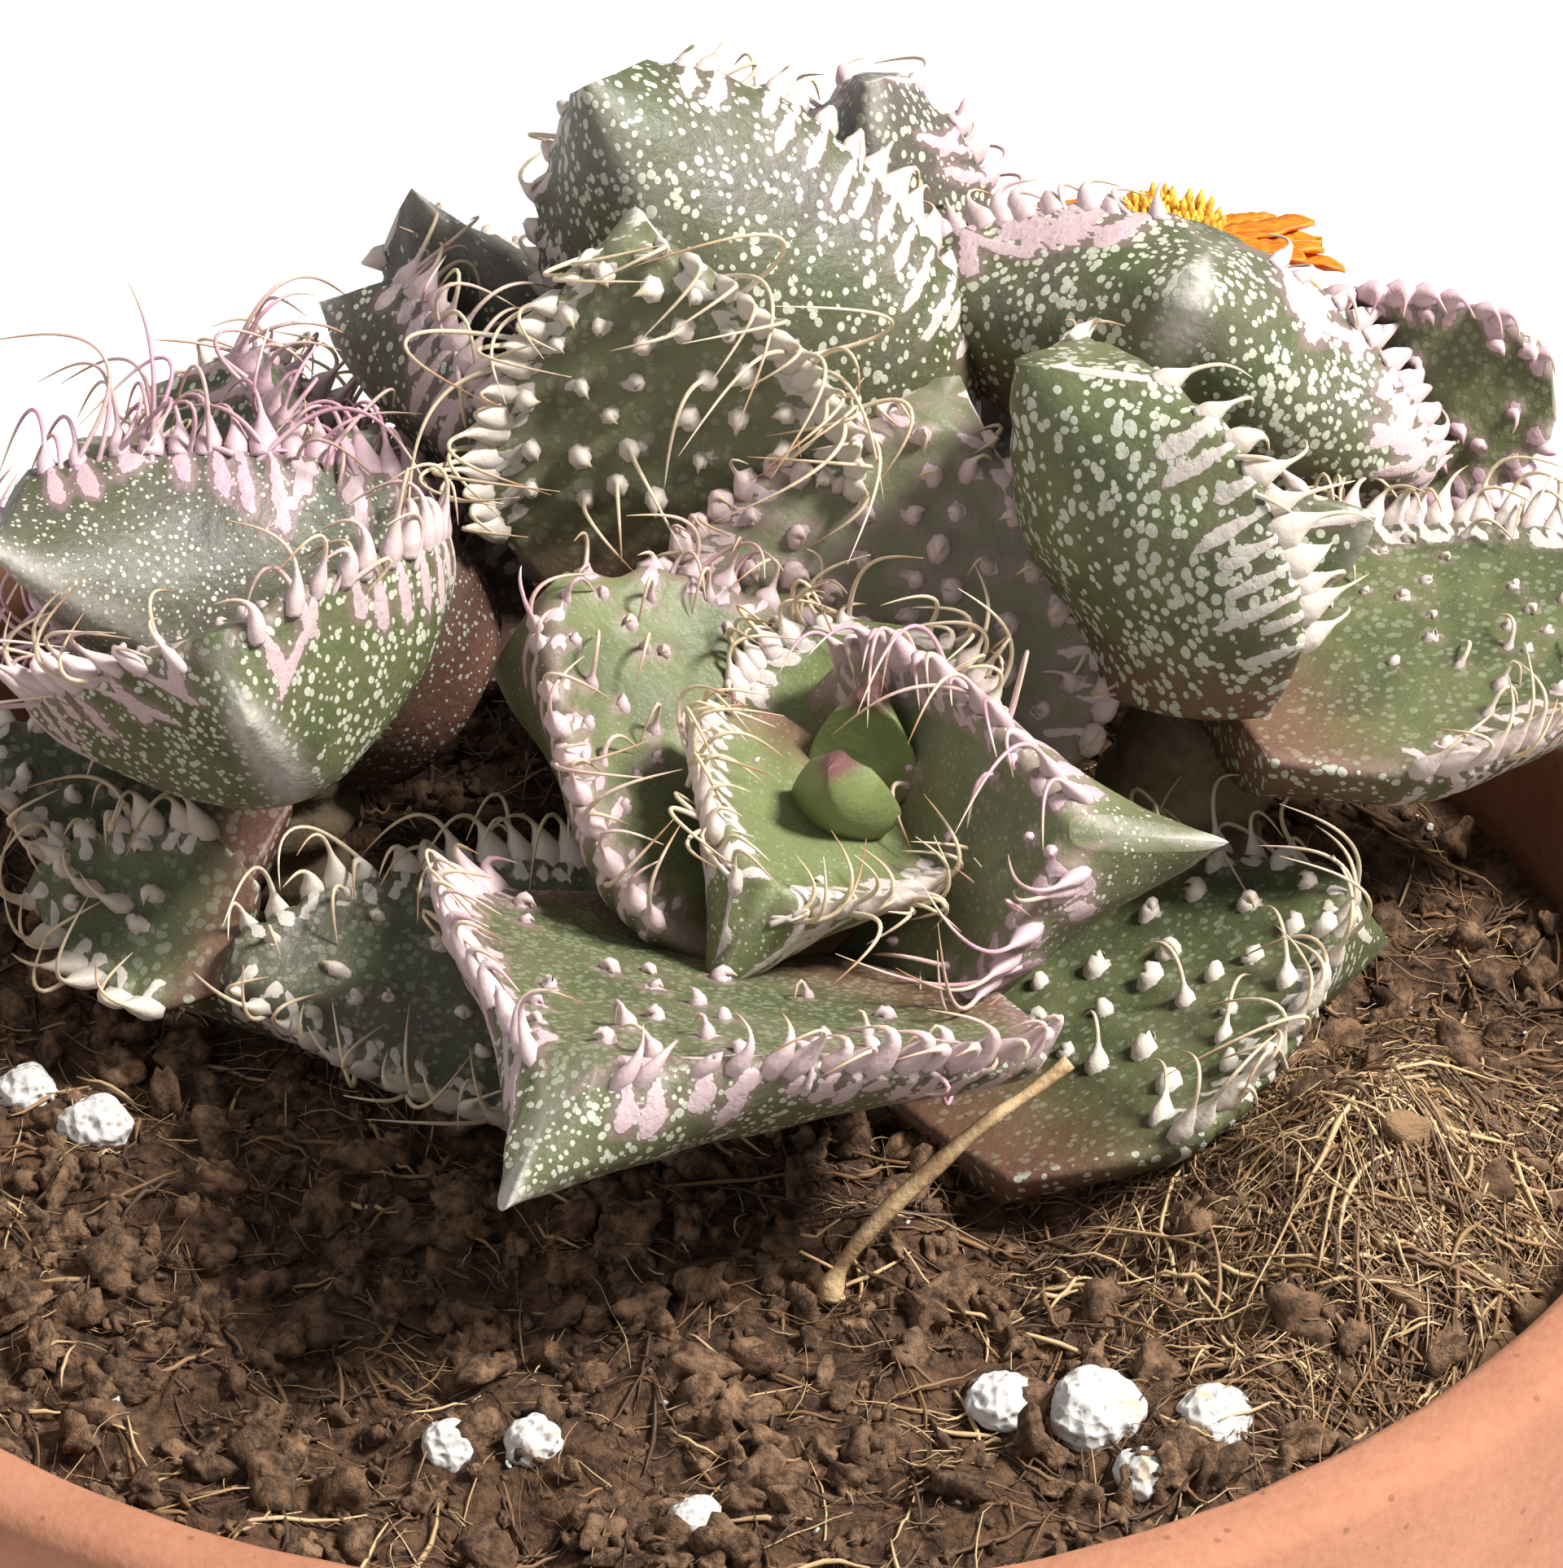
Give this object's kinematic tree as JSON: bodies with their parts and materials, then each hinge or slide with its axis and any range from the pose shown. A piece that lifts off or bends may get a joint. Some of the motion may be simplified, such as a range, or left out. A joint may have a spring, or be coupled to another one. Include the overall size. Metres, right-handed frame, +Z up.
{
  "type": "potted succulent",
  "caption": "Clump of a toothed, spotted succulent with a yellow flower, growing in peat in a round clay pot.",
  "frame": {"origin": "centre of the pot's flat base", "axes": "+Z up, -Y the front that the plant leans towards, +X to the right seen from the front"},
  "size_m": [0.122, 0.122, 0.1387],
  "materials": {
    "terracotta": "unglazed terracotta, matt, slightly stained",
    "peat": "loose fibrous peat, dark brown with tan fibres",
    "leaf": "waxy fleshy skin, green to purple grey with white flecks and pink teeth",
    "stem": "short corky stem, matt",
    "petal": "soft golden petals, slightly translucent",
    "calyx": "green flower tube, waxy",
    "perlite": "white expanded mineral, rough and pitted",
    "straw": "dry straw, matt"
  },
  "bodies": {
    "root": {"pot": "terracotta", "soil": "peat", "flower_tube": "calyx", "flower_petals": "petal", "leaf_bud_left": "leaf", "leaf_bud_right": "leaf", "leaf_front_1a": "leaf", "leaf_front_1b": "leaf", "leaf_front_2a": "leaf", "leaf_front_2b": "leaf", "leaf_front_3a": "leaf", "leaf_front_3b": "leaf", "leaf_front_4a": "leaf", "leaf_front_4b": "leaf", "leaf_front_5a": "leaf", "leaf_right_1": "leaf", "leaf_right_2": "leaf", "leaf_right_3": "leaf", "leaf_right_4": "leaf", "leaf_right_5a": "leaf", "leaf_right_5b": "leaf", "leaf_back_1": "leaf", "leaf_back_2": "leaf", "leaf_back_3": "leaf", "leaf_back_4": "leaf", "leaf_back_5": "leaf", "leaf_back_6": "leaf", "leaf_left_1a": "leaf", "leaf_left_1b": "leaf", "leaf_left_2a": "leaf", "leaf_left_2b": "leaf", "leaf_left_3a": "leaf", "leaf_left_3b": "leaf", "leaf_left_3c": "leaf", "leaf_left_4": "leaf", "leaf_left_5": "leaf", "leaf_left_6": "leaf", "stem_front": "stem", "stem_left": "stem", "stem_right": "stem", "stem_back": "stem", "straw_stalk": "straw", "perlite_1": "perlite", "perlite_2": "perlite", "perlite_3": "perlite", "perlite_4": "perlite", "perlite_5": "perlite", "perlite_6": "perlite", "perlite_7": "perlite", "perlite_8": "perlite", "perlite_9": "perlite", "perlite_10": "perlite"}
  },
  "joints": []
}
